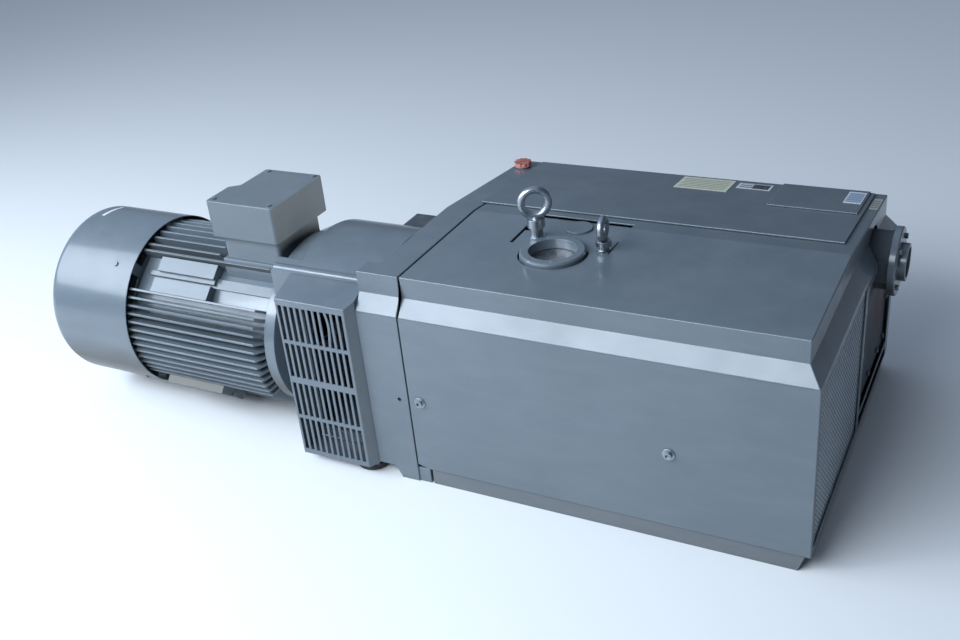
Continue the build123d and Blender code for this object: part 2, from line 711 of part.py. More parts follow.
def sight_glass_bezel():
    """Bezel that holds the oil level glass."""
    y1 = TANK[3]
    bezel = across(GLASS_X, y1 + 0.1, y1 + 8, GLASS_Z, GLASS_R + 8)
    return bezel - across(GLASS_X, y1 - 1, y1 + 9, GLASS_Z, GLASS_R + RUNNING_FIT)


def drain_plug():
    """Oil drain plug low in the tank's back wall."""
    y1 = TANK[3]
    shank = across(DRAIN_X, y1 - TANK_WALL, y1 + 3, DRAIN_Z, DRAIN_R)
    return shank + across(DRAIN_X, y1 + 2, y1 + 12, DRAIN_Z, DRAIN_R + 4)


# ---------------------------------------------------------------- lantern, grille, feet


def lantern_outline(inset, x0, x1):
    """Arched lantern body with a coned shoulder and a square front corner, moved inwards by inset."""
    box = block(x0, x1, LANTERN_FRONT + inset, LANTERN_BACK - inset, LANTERN_BOTTOM + inset, 460)
    corner = axial(x0, x1, LANTERN_R - inset) & block(x0, x1, 0, LANTERN_CORNER, 0, 460)
    drum = axial(LANTERN_SHOULDER_END, x1, LANTERN_R - inset)
    length = LANTERN_SHOULDER_END - x0
    cone = Cone(LANTERN_SHOULDER_R - inset, LANTERN_R - inset, length)
    shoulder = Pos((x0 + LANTERN_SHOULDER_END) / 2, SHAFT_Y, SHAFT_Z) * Rot(0, 90, 0) * cone
    return (drum + shoulder + corner) & box


def lantern_housing():
    """Fan lantern between motor and end plate."""
    x0, x1 = LANTERN_LEFT, PLATE_LEFT - 0.1
    cheek_x = PLATE_CHEEK_LEFT - 0.1
    body = lantern_outline(0, x0, x1) + axial(x0 + 6, cheek_x, 10, LANTERN_FRONT + 10, 386)
    body -= block(cheek_x, x1 + 1, 0, 62.1, 0, 460)
    hollow = lantern_outline(LANTERN_WALL, x0 + LANTERN_WALL, x1 + 5)
    body -= hollow - block(cheek_x - LANTERN_WALL, x1 + 6, 0, 62.1 + LANTERN_WALL, 0, 460)
    body -= axial(x0 - 1, x0 + 20, 120)
    body -= block(GRILLE_LEFT + 12, GRILLE_RIGHT - 12, 20, 60, 45, 350)
    body -= block(-240, -120, LANTERN_BACK - 20, LANTERN_BACK + 10, 80, 350)
    for y in FOOT_Y:
        y0, y1 = min(y - FOOT_PAD, 250), max(y + FOOT_PAD, 60)
        body += block(FOOT_X - FOOT_PAD, FOOT_X + FOOT_PAD, y0, y1, FOOT_TOP + 0.1, GRILLE_BOTTOM - 0.2)
    return body


def grille_section(inset):
    """(y, z) outline of the grille box seen from its end."""
    back = LANTERN_FRONT - 0.1
    return [
        (GRILLE_FRONT + inset, GRILLE_BOTTOM + inset),
        (GRILLE_FRONT + inset, GRILLE_TOP - inset),
        (back + inset, GRILLE_TOP + GRILLE_RISE - inset),
        (back + inset, GRILLE_BOTTOM + inset),
    ]


def front_grille():
    """Slotted grille box on the lantern's front, chamfered at its right."""
    x0, x1 = GRILLE_LEFT, GRILLE_RIGHT + 6
    body = prism_x(grille_section(0), x0, x1)
    slant = [(GRILLE_RIGHT - 6, GRILLE_FRONT - 1), (x1 + 1, GRILLE_FRONT - 1), (x1 + 1, GRILLE_FRONT + 22)]
    wedge = extrude(Polygon(*slant, align=None), amount=500, dir=(0, 0, 1))
    body -= wedge
    hollow = prism_x(grille_section(GRILLE_WALL), x0 + GRILLE_WALL, GRILLE_RIGHT - 8)
    body -= hollow
    first = GRILLE_LEFT + 5
    z = GRILLE_BOTTOM + 11
    for row in range(4):
        for column in range(SLOT_COLUMNS):
            x = first + column * SLOT_PITCH
            body -= block(x, x + SLOT_WIDTH, GRILLE_FRONT - 1, GRILLE_FRONT + 5, z, z + SLOT_HEIGHT)
        z += SLOT_HEIGHT + (SLOT_MIDDLE_BAR if row == 1 else SLOT_BAR)
    return body


def oil_cooler():
    """Finned oil cooler on the lantern's rear side."""
    x0, x1, y0, y1, z0, z1 = COOLER
    core = block(x0, x1, y0, y1, z0, z1)
    fins = int((z1 - z0) / 14) - 1
    for i in range(fins):
        z = z0 + 12 + 14 * i
        core -= block(x0 + 6, x1 + 1, y0 + 20, y1 + 1, z, z + 9)
    return core


def support_feet():
    """Round rubber feet under the lantern."""
    feet = []
    for y in FOOT_Y:
        foot = upright(FOOT_X, y, 0, FOOT_TOP, 33)
        feet.append(chamfer(foot.edges().group_by(Axis.Z)[0], 3))
    return feet


# ---------------------------------------------------------------- motor


def fin(x0, x1, root_x1, tip_r=FIN_TIP_R):
    """One cooling fin in front of the shaft line, its free corner cut off."""
    root_r = MOTOR_CORE_R - 3
    points = [(x0, -root_r), (x0, -tip_r), (x1, -tip_r), (root_x1, -root_r - 4), (root_x1, -root_r)]
    flat = Plane.XY.offset(-FIN_THICKNESS / 2) * Polygon(*points, align=None)
    return extrude(flat, amount=FIN_THICKNESS, dir=(0, 0, 1))


def pad(mirror, foot):
    """Mounting pad between two fin groups: two flats with a stepped groove, and a low rib to the flange."""
    x0, x1 = PAD_X0, PAD_X1
    top = FOOT_R if foot else PAD_R
    root = -MOTOR_CORE_R + 25
    body = block(x0, x1, -MOTOR_CORE_R - 3, root, -PAD_HALF, PAD_HALF)
    body += block(x0 + PAD_STEP, x1, -top, root, PAD_GROOVE, PAD_HALF)
    body += block(x0 + PAD_STEP, x1, -top, root, -PAD_HALF, -PAD_GROOVE)
    body += block(x0 + PAD_STEP / 2, x1, -top + 8, root, -2, PAD_GROOVE + 1)
    body += block(x1 - 1, FIN_ROOT_RIGHT, -MOTOR_CORE_R - 4, root, -PAD_GROOVE, 2 * PAD_GROOVE)
    return about_shaft(body, mirror)


def motor_frame():
    """Finned motor frame with four pads and the seat of the terminal box."""
    body = axial(FIN_LEFT, FIN_ROOT_RIGHT, MOTOR_CORE_R)
    side_fins = [(i - 6) * 5.7 for i in range(13)]
    for angle in side_fins:
        body += about_shaft(fin(FIN_LEFT, FIN_RIGHT, FIN_ROOT_RIGHT), angle)
        body += about_shaft(fin(FIN_LEFT, FIN_RIGHT, FIN_ROOT_RIGHT), 180 + angle)
    for i in range(7):
        angle = (i - 3) * 7.0
        body += about_shaft(fin(FIN_LEFT, BOX_X0 - 14, BOX_X0 - 4), 90 + angle)
        body += about_shaft(fin(FIN_LEFT, FIN_RIGHT, FIN_ROOT_RIGHT), 270 + angle)
    for angle in (63.5, 116.5, 243.5, 296.5):
        body += about_shaft(fin(FIN_LEFT, FIN_RIGHT, FIN_ROOT_RIGHT), angle)
    for angle, foot in ((PAD_ANGLE, False), (180 - PAD_ANGLE, False),
                        (180 + PAD_ANGLE, True), (-PAD_ANGLE, True)):
        body += pad(angle, foot)
    body += block(NECK_X0 - 6, FIN_ROOT_RIGHT, NECK_Y0 - 4, NECK_Y1 + 4, SHAFT_Z + 100, NECK_BOTTOM - 0.1)
    body -= axial(FIN_LEFT - 1, FIN_ROOT_RIGHT + 1, FRAME_BORE_R)
    body -= upright((NECK_X0 + NECK_X1) / 2, SHAFT_Y, SHAFT_Z + 90, NECK_BOTTOM + 1, 30)
    return body


def drive_end_shield():
    """Flange shield at the coupling end."""
    x0, x1 = FIN_ROOT_RIGHT + 0.1, LANTERN_LEFT - 0.1
    body = axial(x0, x1, 158) + axial(x0 - 12, x0 + 1, FRAME_BORE_R - 0.2)
    body += axial(x1 - 1, x1 + 8, 119.5)
    body -= axial(x0 - 20, x1 + 10, 38)
    return body - axial(x0 - 20, x0 + 12, 50 + RUNNING_FIT)


def rear_end_shield():
    """Shield under the fan cowl, with lugs for the cowl's screws."""
    x0, x1 = FIN_LEFT - 18, FIN_LEFT - 0.1
    body = axial(x0, x1, 150) + axial(x1 - 1, x1 + 12, FRAME_BORE_R - 0.2)
    for angle in COWL_SCREW_ANGLES:
        lug = block(COWL_SCREW_X - 12, x1, -COWL_R + COWL_SHEET + 1, -135, -12, 12)
        body += about_shaft(lug, angle)
    body -= axial(x0 - 1, x1 + 20, 34)
    return body - axial(x0 + 6, x1 + 20, 45 + RUNNING_FIT)


def fan_cowl():
    """Sheet cowl over the motor's fan, with a slotted back."""
    body = axial(COWL_BACK, COWL_OPEN, COWL_R)
    body = fillet(body.edges().group_by(Axis.X)[0], 22)
    hollow = axial(COWL_BACK + COWL_SHEET, COWL_OPEN + 1, COWL_R - COWL_SHEET)
    hollow = fillet(hollow.edges().group_by(Axis.X)[0], 20)
    body -= hollow
    x0, x1 = COWL_BACK - 1, COWL_BACK + COWL_SHEET + 1
    for r in range(34, 150, 18):
        slots = ring(x0, x1, r + 9, r)
        slots -= block(x0, x1, SHAFT_Y - 5, SHAFT_Y + 5, SHAFT_Z - 200, SHAFT_Z + 200)
        slots -= block(x0, x1, SHAFT_Y - 200, SHAFT_Y + 200, SHAFT_Z - 5, SHAFT_Z + 5)
        for angle in (45, -45):
            bar = Pos(0, SHAFT_Y, SHAFT_Z) * Rot(angle, 0, 0) * block(x0, x1, -4, 4, -200, 200)
            slots -= bar
        body -= slots
    return body


def cowl_screws():
    """Round-headed screws that hold the fan cowl."""
    screws = []
    for angle in COWL_SCREW_ANGLES:
        head = across(COWL_SCREW_X, -COWL_R - 2.6, -COWL_R - 0.1, 0, 5)
        screws.append(about_shaft(head, angle))
    return screws


def stator():
    """Laminated stator core."""
    return ring(-600, -400, FRAME_BORE_R - 0.3, 82)


def stator_windings():
    """End windings on both faces of the core."""
    return [ring(-640, -600.2, 112, 88), ring(-399.8, -360, 112, 88)]


def motor_rotor():
    """Squirrel-cage rotor on the motor shaft."""
    body = axial(-600, -400, 81.2) + axial(-810, -166, MOTOR_SHAFT_R)
    body += axial(-612, -388, 70)
    return body


def motor_fan():
    """Radial fan on the motor's rear shaft end."""
    body = axial(-790, -735, 42) + axial(-745, -738, 150)
    for turn in range(7):
        blade = block(-790, -740, -150, -38, -2.5, 2.5)
        body += about_shaft(blade, turn * 360 / 7)
    return body - axial(-800, -730, MOTOR_SHAFT_R + 0.01)


def terminal_box_base():
    """Neck of the terminal box, with its cable entries."""
    body = block(NECK_X0, NECK_X1, NECK_Y0, NECK_Y1, NECK_BOTTOM, NECK_TOP)
    body = fillet(body.edges().filter_by(Axis.Z), 8)
    body -= block(NECK_X0 + 6, NECK_X1 - 6, NECK_Y0 + 6, NECK_Y1 - 6, NECK_BOTTOM + 6, NECK_TOP + 1)
    body -= upright((NECK_X0 + NECK_X1) / 2, SHAFT_Y, NECK_BOTTOM - 1, NECK_BOTTOM + 10, 28)
    for x in GLAND_X:
        body -= across(x, NECK_Y1 - 10, NECK_Y1 + 5, GLAND_Z, 12 + RUNNING_FIT)
    return body


def gland_plugs():
    """Hexagon plugs in the cable entries."""
    plugs = []
    for x in GLAND_X:
        plug = Pos(x, NECK_Y1 + 0.1, GLAND_Z) * Rot(-90, 0, 0) * hex_head(30, 9)
        plugs.append(plug + across(x, NECK_Y1 - 8, NECK_Y1 + 2, GLAND_Z, 12))
    return plugs


def terminal_box_gasket():
    """Gasket between neck and lid."""
    x0, x1, y0, y1 = NECK_X0 - 2, NECK_X1 + 2, NECK_Y0 - 2, NECK_Y1 + 2
    z0, z1 = NECK_TOP + 0.1, NECK_TOP + 3.9
    return block(x0, x1, y0, y1, z0, z1) - block(x0 + 9, x1 - 9, y0 + 9, y1 - 9, z0 - 1, z1 + 1)


def terminal_box_lid():
    """Deep lid of the terminal box, one rear corner set back."""
    flare = 2.5
    z0, z1 = BOX_LID_BOTTOM, BOX_TOP
    plan_top = [(BOX_X0, BOX_Y0), (BOX_X1, BOX_Y0), (BOX_X1, BOX_Y1), (BOX_X0 + 20, BOX_Y1),
                (BOX_X0 + 20, SHAFT_Y), (BOX_X0, SHAFT_Y - 14)]
    plan = Plane.XY.offset(z0) * Polygon(*plan_top, align=None)
    body = extrude(plan, amount=z1 - z0, dir=(0, 0, 1))
    body = fillet(body.edges().filter_by(Axis.Z), 6)
    body = fillet(body.edges().group_by(Axis.Z)[-1], flare)
    hollow = block(NECK_X0 + 20, NECK_X1 - 6, NECK_Y0 + 6, NECK_Y1 - 6, z0 - 1, z1 - 5)
    return body - hollow


def terminal_box_screws():
    """Recessed screws in the lid's corners."""
    screws = []
    for x, y in ((BOX_X1 - 12, BOX_Y0 + 12), (BOX_X1 - 12, BOX_Y1 - 12),
                 (BOX_X0 + 12, BOX_Y0 + 12), (BOX_X0 + 34, BOX_Y1 - 12)):
        screws.append(upright(x, y, BOX_TOP + 0.05, BOX_TOP + 2.5, 5))
    return screws


def terminal_block():
    """Terminal board with six studs."""
    z0 = NECK_BOTTOM + 6.1
    body = block(-420, -332, 120, 204, z0, z0 + 14)
    body -= upright(-376, SHAFT_Y, z0 - 1, z0 + 20, 9)
    for x in (-408, -376, -344):
        for y in (134, 190):
            body += upright(x, y, z0 + 13, z0 + 34, 4)
            body += upright(x, y, z0 + 13, z0 + 18, 7)
    return body


# ---------------------------------------------------------------- coupling and cooling fan


def claw_hub(x0, x1, claw_x0, claw_x1, bore_r, turn):
    """Coupling hub with three claws."""
    hub = axial(x0, x1, 52)
    for i in range(3):
        claw = block(claw_x0, claw_x1, -52, -26, -14, 14)
        hub += about_shaft(claw, turn + 120 * i) & axial(claw_x0, claw_x1, 52)
    return hub - axial(x0 - 30, x1 + 30, bore_r)


def motor_hub():
    """Claw hub on the motor shaft."""
    return claw_hub(-205, -165, -166, -143, MOTOR_SHAFT_R + 0.01, 0)


def pump_hub():
    """Claw hub on the pump shaft."""
    return claw_hub(-142, -80, -164, -141, PUMP_SHAFT_R + 0.01, 60)


def coupling_spider():
    """Elastic spider between the claws, joined round the middle."""
    body = ring(-163.5, -143.5, 51, 14)
    for i in range(6):
        claw = block(-170, -140, -60, -25.5, -14.3, 14.3)
        body -= about_shaft(claw, 60 * i)
    return body


def cooling_fan():
    """Fan on the pump's coupling hub, which draws air over the cooler."""
    body = ring(-138, -112, 62, 52.2) + ring(-132, -128, FAN_R - 6, 60)
    for i in range(9):
        blade = block(-138, -102, -FAN_R, -58, -2, 2)
        body += about_shaft(blade, i * 40)
    return body


def oil_filler_cap():
    """Screw cap of the oil filler, with a grip and a threaded neck."""
    z = FILLER_SEAT
    cap = upright(FILLER_X, FILLER_Y, z + 4.3, z + 13, FILLER_CAP_R)
    for i in range(10):
        cut = Pos(FILLER_X, FILLER_Y, z + 11) * Rot(0, 0, 36 * i) * Pos(FILLER_CAP_R + 2, 0, 0)
        cap -= cut * Cylinder(4, 10)
    cap = cap + upright(FILLER_X, FILLER_Y, z - 24, z + 5, FILLER_NECK_R - 3)
    return cap


def oil_filler_neck():
    """Neck in the end plate that the filler cap screws into."""
    z = FILLER_SEAT
    neck = upright(FILLER_X, FILLER_Y, z - 40, z + 4, FILLER_NECK_R)
    neck += upright(FILLER_X, FILLER_Y, z + 2.2, z + 4, FILLER_CAP_R)
    return neck - upright(FILLER_X, FILLER_Y, z - 30, z + 5, FILLER_NECK_R - 3 + RUNNING_FIT)


def write_parts():
    """Write every node."""
    save("front_hood", front_hood())
    save("end_plate", end_plate())
    save("base_frame", base_frame())
    save("rear_lid", rear_lid())
    save("lid_panel", lid_panel())
    save("lid_labels",
         plate_on_lid(*RATING_PLATE), plate_on_lid(*SMALL_PLATE),
         plate_on_lid(*PANEL_PLATE), plate_on_lid(*ROOF_PLATE))
    save("air_inlet_mesh", air_inlet_mesh())
    save("hood_screws", *hood_screws())
    save("intake_block", intake_block())
    save("intake_flange", intake_flange())
    save("intake_valve_disc", intake_valve_disc())
    save("valve_guide", valve_guide())
    save("valve_spring", valve_spring())
    save("recess_plug", recess_plug())
    save("eye_bolt_large", eye_bolt(LARGE_EYE))
    save("eye_bolt_small", eye_bolt(SMALL_EYE))
    save("pump_cylinder", pump_cylinder())
    x0, x1 = CYLINDER_X0, CYLINDER_X1
    save("pump_end_covers", pump_cover(x0 - COVER_THICKNESS, x0 - 0.1, x0 - 20, x0 + 1),
         pump_cover(x1 + 0.1, x1 + COVER_THICKNESS, x1 - 1, x1 + 20))
    save("shaft_bearings", bearing(x0 - 19.5, x0 - 1.5, 52, PUMP_SHAFT_R),
         bearing(x1 + 1.5, x1 + 19.5, 52, PUMP_SHAFT_R),
         bearing(FIN_ROOT_RIGHT - 18, FIN_ROOT_RIGHT + 11, 50, MOTOR_SHAFT_R),
         bearing(FIN_LEFT - 11, FIN_LEFT + 6, 45, MOTOR_SHAFT_R))
    save("shaft_seal", shaft_seal())
    save("pump_rotor", pump_rotor())
    for turn in range(VANE_COUNT):
        save(f"vane_{turn + 1}", vane(turn))
    save("oil_filter", oil_filter())
    save("oil_filter_head", oil_filter_head())
    save("oil_line", oil_line())
    save("gas_ballast_valve", gas_ballast_valve())
    save("separator_tank", separator_tank())
    save("separator_top", separator_top())
    save("separator_end_cover", separator_end_cover())
    save("exhaust_side_bolts", *end_cover_bolts(), *exhaust_flange_bolts())
    save("exhaust_flange", exhaust_flange())
    save("exhaust_filters", *exhaust_filters())
    save("float_valve", float_valve())
    save("tank_brackets", float_bracket(), filter_manifold())
    save("sight_glass", sight_glass())
    save("tank_fittings", sight_glass_bezel(), drain_plug())
    save("lantern_housing", lantern_housing())
    save("front_grille", front_grille())
    save("oil_cooler", oil_cooler())
    save("support_feet", *support_feet())
    save("motor_frame", motor_frame())
    save("motor_end_shields", drive_end_shield(), rear_end_shield())
    save("fan_cowl", fan_cowl())
    save("cover_screws", *cowl_screws(), *terminal_box_screws())
    save("stator", stator())
    save("stator_windings", *stator_windings())
    save("motor_rotor", motor_rotor())
    save("motor_fan", motor_fan())
    save("terminal_box_base", terminal_box_base())
    save("terminal_box_gasket", terminal_box_gasket())
    save("terminal_box_lid", terminal_box_lid())
    save("terminal_block", terminal_block())
    save("gland_plugs", *gland_plugs())
    save("motor_hub", motor_hub())
    save("pump_hub", pump_hub())
    save("coupling_spider", coupling_spider())
    save("cooling_fan", cooling_fan())
    save("oil_filler_cap", oil_filler_cap())


write_parts()
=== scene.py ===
"""Looks of the rotary vane vacuum pump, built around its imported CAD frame. Metres, +Z up, motor at -X."""

import json
import math

import bmesh
import bpy
from mathutils import Matrix, Vector


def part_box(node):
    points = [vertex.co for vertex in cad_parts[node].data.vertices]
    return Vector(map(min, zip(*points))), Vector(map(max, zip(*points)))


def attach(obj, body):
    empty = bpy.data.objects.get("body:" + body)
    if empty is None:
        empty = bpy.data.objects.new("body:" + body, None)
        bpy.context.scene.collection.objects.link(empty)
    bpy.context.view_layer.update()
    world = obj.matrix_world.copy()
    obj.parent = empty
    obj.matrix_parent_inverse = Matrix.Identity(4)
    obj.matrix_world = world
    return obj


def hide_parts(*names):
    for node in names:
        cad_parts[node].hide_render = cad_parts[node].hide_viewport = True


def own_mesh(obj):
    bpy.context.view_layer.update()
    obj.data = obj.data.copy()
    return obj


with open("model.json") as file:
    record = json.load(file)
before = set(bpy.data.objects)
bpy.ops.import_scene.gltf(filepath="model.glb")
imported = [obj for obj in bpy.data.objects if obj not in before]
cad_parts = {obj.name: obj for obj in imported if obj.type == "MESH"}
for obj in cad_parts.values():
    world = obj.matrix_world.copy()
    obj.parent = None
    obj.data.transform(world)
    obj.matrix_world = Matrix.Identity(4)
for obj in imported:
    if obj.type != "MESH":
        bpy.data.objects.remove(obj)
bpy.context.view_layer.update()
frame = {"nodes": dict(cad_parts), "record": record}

RECORD = frame["record"]
NODE_BODY = {node: body for body, nodes in RECORD["behaviour"]["bodies"].items() for node in nodes}
NODE_SLOT = {part["node"]: part["material_slot"] for part in RECORD["subparts"]}
MM = 0.001
CENTRE_X, CENTRE_Y = -49.5, 334.0

# ---- Camera and light -------------------------------------------------------------------------
CAMERA_AT = Vector((1.03146, -1.76271, 1.28609))
CAMERA_AIM = Vector((0.0224, 0.0, 0.16457))
CAMERA_ROLL = -6.051
CAMERA_LENS = 42.43
LIGHT_AIM = Vector((0.0, 0.0, 0.25))
FLOOR_REACH = 14.0
LIGHTS = (
    ("key_front", (-0.85, -2.40, 2.15), (2.9, 1.25), 112, (0.78, 0.88, 1.0)),
    ("key_left", (-2.45, -1.50, 1.80), (1.9, 1.7), 60, (0.78, 0.88, 1.0)),
)
CARD_AT, CARD_SIZE, CARD_WATTS = (1.1, 0.25, 0.66), (0.5, 0.5), 25
CARD_LIT = ("terminal_box_lid", "terminal_box_base")
SKY_LEFT = (0.32, 0.41, 0.55)
SKY_RIGHT = (0.070, 0.084, 0.108)
SKY_AWAY = (0.75, 0.0, -0.8)
SKY_TURNS = (-0.80, -0.28)
SKY_STRENGTH = 1.0

# ---- Rounding of sharp edges ----------------------------------------------------------------------
SHEET_EDGE = 1.6 * MM
CAST_EDGE = 1.0 * MM
FIN_EDGE = 0.8 * MM
SMALL_EDGE = 0.5 * MM
SHARP_ANGLE = math.radians(24)
FLAT_ANGLE = math.radians(0.4)
LARGE_FACE = 0.02
WELD_DISTANCE = 0.002 * MM
ROOM_SHARE = 0.33
EDGE_SEGMENTS = 2

# ---- Lattice, spring, sticker, bent slat, plates and low pads -----------------------------------
LATTICE_WIDE, LATTICE_HIGH, LATTICE_DEPTH = 10 * MM, 10 * MM, 1.6 * MM
DIAMOND = ((1, 0), (0, 1), (-1, 0), (0, -1))
STRAND_INSIDE, STRAND_TWIST, STRAND_THICK = 0.60, 0.9 * MM, 0.9 * MM
BORDER = 9 * MM
SPRING_WIRE, SPRING_TURNS, SPRING_STEPS, SPRING_SIDES = 2.4 * MM, 7, 20, 8
SHAFT_Y, SHAFT_Z = 162.0, 205.0
STICKER_X, STICKER_FROM, STICKER_TO, STICKER_R, STICKER_STEPS = (-824.0, -816.0), 87, 106, 180.4, 8
PLATE_LIMITS = (0.47, 0.60, 0.725)
FEET_UNDER, FEET_AREA = 120 * MM, 0.0004
SLAT_LOW, SLAT_HIGH, SLAT_CUTS, SLAT_PUSH = (-146.0, -20.0, 277.5), (-138.6, -14.0, 348.5), 7, 4.6 * MM


# ---- Node materials ------------------------------------------------------------------------------
class Finish:
    """A procedural material under construction, with places taken from the object's own coordinates."""

    def __init__(self, name):
        self.material = bpy.data.materials.new(name)
        self.material.use_nodes = True
        self.tree = self.material.node_tree
        self.shader = self.tree.nodes["Principled BSDF"]
        self.place = self.tree.nodes.new("ShaderNodeTexCoord").outputs["Object"]

    def node(self, kind, inputs=None, **settings):
        made = self.tree.nodes.new(kind)
        for key, value in settings.items():
            setattr(made, key, value)
        for key, value in (inputs or {}).items():
            self.feed(made.inputs[key], value)
        return made

    def feed(self, socket, value):
        if isinstance(value, bpy.types.NodeSocket):
            self.tree.links.new(value, socket)
        else:
            socket.default_value = value

    def stretched(self, scale):
        made = self.node("ShaderNodeMapping", {"Vector": self.place, "Scale": scale})
        return made.outputs["Vector"]

    def noise(self, scale, detail=3.0, rough=0.55, place=None):
        made = self.node("ShaderNodeTexNoise", {"Scale": scale, "Detail": detail, "Roughness": rough})
        self.feed(made.inputs["Vector"], place or self.place)
        return made.outputs["Fac"]

    def span(self, value, low, high, out_low=0.0, out_high=1.0):
        made = self.node("ShaderNodeMapRange", {0: value, 1: low, 2: high, 3: out_low, 4: out_high})
        return made.outputs[0]

    def from_middle(self, value):
        moved = self.node("ShaderNodeMath", {0: value, 1: 0.5}, operation="SUBTRACT").outputs[0]
        return self.node("ShaderNodeMath", {0: moved}, operation="ABSOLUTE").outputs[0]

    def times(self, a, b):
        return self.node("ShaderNodeMath", {0: a, 1: b}, operation="MULTIPLY").outputs[0]

    def mix(self, share, a, b):
        made = self.node("ShaderNodeMix", data_type="RGBA")
        self.feed(made.inputs["Factor"], share)
        for socket, value in ((made.inputs[6], a), (made.inputs[7], b)):
            self.feed(socket, value if isinstance(value, bpy.types.NodeSocket) else (*value, 1.0))
        return made.outputs[2]

    def distance(self, spot):
        made = self.node("ShaderNodeVectorMath", {0: self.place, 1: spot}, operation="DISTANCE")
        return made.outputs["Value"]

    def facing_up(self):
        normal = self.node("ShaderNodeNewGeometry").outputs["Normal"]
        return self.node("ShaderNodeSeparateXYZ", {0: normal}).outputs["Z"]

    def bumps(self, *layers):
        """Each layer is (height, strength, depth in metres)."""
        normal = None
        for height, strength, depth in layers:
            made = self.node("ShaderNodeBump", {"Strength": strength, "Distance": depth, "Height": height})
            if normal:
                self.feed(made.inputs["Normal"], normal)
            normal = made.outputs["Normal"]
        self.feed(self.shader.inputs["Normal"], normal)

    def set(self, **values):
        for key, value in values.items():
            self.feed(self.shader.inputs[key.replace("_", " ")], value)
        return self.material


def enamel(name, tint, dark, dust, gloss, relief, stain=None):
    """Semi-gloss enamel: uneven tint, soft smears in the gloss, dust on top faces, undersides duller and darkened
    with painted shade, and a light orange peel. A stain is (place, reach): burnt paint round one spot."""
    f = Finish(name)
    patches = f.span(f.noise(3.1, 4.0), 0.35, 0.68)
    colour = f.mix(patches, dark, tint)
    smears = f.noise(1.0, 5.0, 0.62, f.stretched((9.0, 9.0, 34.0)))
    colour = f.mix(f.span(smears, 0.42, 0.75, 0.0, 0.22), colour, dust)
    colour = f.mix(f.span(f.noise(160.0, 2.0), 0.3, 0.7, 0.0, 0.12), colour, dark)
    settled = f.times(f.span(f.facing_up(), 0.55, 1.0), f.span(f.noise(14.0, 6.0, 0.65), 0.42, 0.8, 0.0, 0.30))
    colour = f.mix(settled, colour, dust)
    # Faces that look down get painted shade in their colour and a duller gloss.
    shaded_underside = f.span(f.facing_up(), -0.10, -0.45)
    colour = f.mix(f.times(shaded_underside, 0.9), colour, UNDERSIDE_SHADE)
    if stain:
        near = f.span(f.distance(stain[0]), 0.35 * stain[1], stain[1], 0.85, 0.0)
        colour = f.mix(f.times(near, f.span(f.noise(30.0, 5.0, 0.7), 0.3, 0.6)), colour, RUST)
    roughness = f.span(f.noise(11.0, 5.0, 0.6), 0.35, 0.95, gloss - 0.01, gloss + 0.23)
    f.bumps((f.noise(140.0, 1.0), 0.02, 0.0004), (f.noise(22.0, 1.0), relief, 0.0022))
    roughness = f.node("ShaderNodeMath", {0: roughness, 1: f.times(shaded_underside, 0.45)}, operation="ADD").outputs[0]
    f.set(Base_Color=colour, Roughness=roughness, IOR=1.55)
    return f.set(Coat_Weight=0.5 if gloss < 0.4 else 0.0, Coat_Roughness=0.12)


def worn_metal(name, bright, dull, rough, grain=260.0, dents=0.25):
    """Bare or plated metal: clouded tint, darker stains spread by noise and a fine rolled or forged grain."""
    f = Finish(name)
    clouds = f.span(f.noise(24.0, 5.0, 0.6), 0.36, 0.66)
    colour = f.mix(clouds, dull, bright)
    stains = f.span(f.noise(95.0, 4.0, 0.7), 0.6, 0.8, 0.0, 0.55)
    colour = f.mix(stains, colour, tuple(0.55 * c for c in dull))
    roughness = f.span(f.noise(60.0, 4.0), 0.3, 0.7, rough - 0.07, rough + 0.14)
    f.bumps((f.noise(grain, 4.0, 0.7), dents, 0.0008))
    return f.set(Base_Color=colour, Roughness=roughness, Metallic=1.0)


def casting(name, tint, dark, rough):
    """A sand cast surface: grainy skin with soft darker patches."""
    f = Finish(name)
    colour = f.mix(f.span(f.noise(17.0, 5.0, 0.6), 0.35, 0.68), dark, tint)
    roughness = f.span(f.noise(70.0, 3.0), 0.3, 0.7, rough - 0.08, rough + 0.10)
    f.bumps((f.noise(240.0, 3.0, 0.6), 0.35, 0.0009))
    return f.set(Base_Color=colour, Roughness=roughness, Metallic=0.35)


def moulded(name, tint, dark, rough, fine=900.0, relief=0.12):
    """Moulded plastic or rubber with a fine eroded texture and handling marks."""
    f = Finish(name)
    colour = f.mix(f.span(f.noise(40.0, 4.0), 0.38, 0.7), tint, dark)
    roughness = f.span(f.noise(55.0, 4.0), 0.3, 0.7, rough - 0.08, rough + 0.12)
    f.bumps((f.noise(fine, 2.0), relief, 0.0004))
    return f.set(Base_Color=colour, Roughness=roughness)


def turned_metal(name, bright, dull, rough):
    """Machined metal with fine turning lines round the shaft's direction."""
    f = Finish(name)
    lines = f.noise(1.0, 3.0, 0.6, f.stretched((900.0, 8.0, 8.0)))
    colour = f.mix(f.span(lines, 0.35, 0.65), dull, bright)
    colour = f.mix(f.span(f.noise(30.0, 5.0), 0.55, 0.8, 0.0, 0.4), colour, tuple(0.6 * c for c in dull))
    roughness = f.span(f.noise(45.0, 4.0), 0.3, 0.7, rough - 0.06, rough + 0.12)
    f.bumps((lines, 0.16, 0.0004))
    return f.set(Base_Color=colour, Roughness=roughness, Metallic=1.0)


def wound_copper():
    """Enamelled wire laid in bundles."""
    f = Finish("enamelled_copper")
    strands = f.noise(1.0, 3.0, 0.7, f.stretched((60.0, 700.0, 700.0)))
    colour = f.mix(f.span(strands, 0.38, 0.62), (0.16, 0.045, 0.015), (0.58, 0.22, 0.08))
    roughness = f.span(f.noise(80.0, 3.0), 0.3, 0.7, 0.28, 0.5)
    f.bumps((strands, 0.6, 0.0015))
    return f.set(Base_Color=colour, Roughness=roughness, Metallic=0.6)


